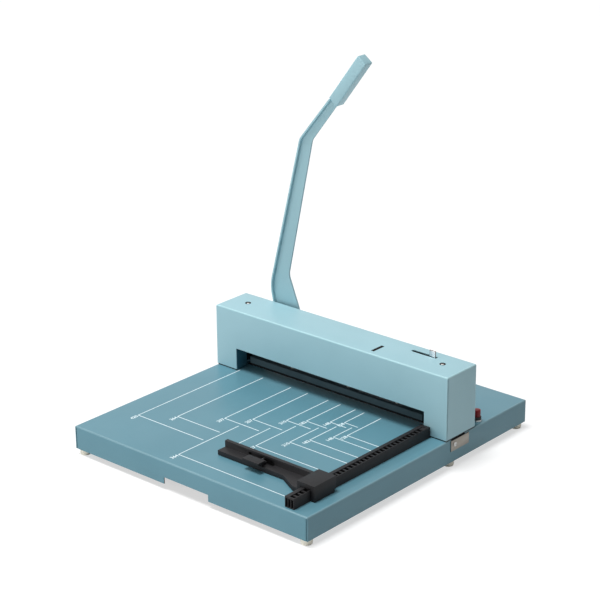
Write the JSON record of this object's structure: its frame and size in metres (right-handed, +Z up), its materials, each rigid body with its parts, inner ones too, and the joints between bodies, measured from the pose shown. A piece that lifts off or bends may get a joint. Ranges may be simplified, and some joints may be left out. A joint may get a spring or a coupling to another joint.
{
  "type": "paper cutter",
  "caption": "Desk paper guillotine: a folded steel table, a blade housing with a paper slot, a tall hand lever, a clamp bar, and a side rail with a sliding stop gauge.",
  "frame": {"origin": "on the surface that the feet stand on, under the centre of the table", "axes": "+X to the user's right along the blade, +Y from the user to the back, +Z up"},
  "size_m": [0.5276, 0.586, 0.6557],
  "materials": {
    "housing_paint": "fine satin light blue paint",
    "table_paint": "satin grey blue paint",
    "black_plastic": "fine moulded grain",
    "dark_steel": "dark grey stoved paint",
    "bright_steel": "zinc plated",
    "spring_steel": "oiled spring wire",
    "blade_steel": "ground",
    "chrome": "polished plate",
    "cream_rubber": "matt moulded rubber",
    "red_plastic": "gloss",
    "bronze": "machined"
  },
  "bodies": {
    "base": {"housing_cover": "housing_paint", "base_pan": "table_paint", "table_braces": "table_paint", "side_rail": "black_plastic", "button_collar": "black_plastic", "cover_washers": "black_plastic", "cover_seals": "black_plastic", "cutting_stick": "black_plastic", "end_frame_left": "dark_steel", "end_frame_right": "dark_steel", "guide_beam": "dark_steel", "clamp_guide": "dark_steel", "stick_tray": "dark_steel", "foot_screws": "bright_steel", "frame_bolts": "bright_steel", "beam_bolts": "bright_steel", "blade_guides": "bright_steel", "clamp_guide_bolts": "bright_steel", "cover_screws": "bright_steel", "rail_screws": "bright_steel", "cover_plate_screw": "bright_steel", "return_spring": "spring_steel", "clamp_springs": "spring_steel", "button_spring": "spring_steel", "button_base": "chrome", "feet": "cream_rubber", "pivot_bush": "bronze"},
    "lever": {"lever_arm": "housing_paint", "lever_grip": "housing_paint", "grip_screws": "bright_steel", "lever_hub": "housing_paint", "pivot_shaft": "bright_steel", "shaft_nut": "bright_steel", "eccentric": "dark_steel"},
    "blade_unit": {"blade_carrier": "dark_steel", "blade": "blade_steel", "blade_bolts": "bright_steel"},
    "clamp_unit": {"clamp_bar": "dark_steel", "clamp_rods": "bright_steel", "clamp_nuts": "bright_steel"},
    "gauge": {"gauge_body": "black_plastic", "gauge_slipper": "black_plastic", "gauge_screws": "bright_steel", "latch_spring": "spring_steel"},
    "latch": {"gauge_latch": "black_plastic"},
    "lock": {"lock_slide": "chrome"},
    "button": {"button_cap": "red_plastic", "button_stem": "bright_steel"},
    "cover_plate": {"stick_cover_plate": "bright_steel"}
  },
  "joints": [
    {"name": "lever_swing", "type": "hinge", "parent": "base", "child": "lever", "pos_m": [-0.15, 0.146, 0.108], "axis": [0, 1, 0], "range_deg": [0, 77], "stiffness_Nm_per_rad": 1.2, "springref_deg": -57.3},
    {"name": "blade_slide", "type": "slide", "parent": "base", "child": "blade_unit", "axis": [-0.7071, 0, -0.7071], "range_m": [0, 0.0184]},
    {"name": "clamp_slide", "type": "slide", "parent": "base", "child": "clamp_unit", "axis": [0, 0, -1], "range_m": [0, 0.0106], "deforming": ["clamp_springs"]},
    {"name": "gauge_slide", "type": "slide", "parent": "base", "child": "gauge", "axis": [0, 1, 0], "range_m": [-0.038, 0.25]},
    {"name": "latch_press", "type": "slide", "parent": "gauge", "child": "latch", "axis": [0, 1, 0], "range_m": [0, 0.005], "stiffness_N_per_m": 150, "springref_m": -0.004, "deforming": ["latch_spring"]},
    {"name": "lock_shift", "type": "slide", "parent": "base", "child": "lock", "axis": [-1, 0, 0], "range_m": [0, 0.036]},
    {"name": "button_press", "type": "slide", "parent": "base", "child": "button", "axis": [0, 0, -1], "range_m": [0, 0.004], "stiffness_N_per_m": 500, "springref_m": -0.004, "deforming": ["button_spring"]},
    {"name": "cover_plate_swing", "type": "hinge", "parent": "base", "child": "cover_plate", "pos_m": [0.262, 0.0845, 0.0426], "axis": [1, 0, 0], "range_deg": [0, 90]}
  ],
  "couplings": [
    {"joint": "blade_slide", "follows": "lever_swing", "m_per_rad": 0.01368},
    {"joint": "clamp_slide", "follows": "lever_swing", "m_per_rad": 0.007813}
  ]
}
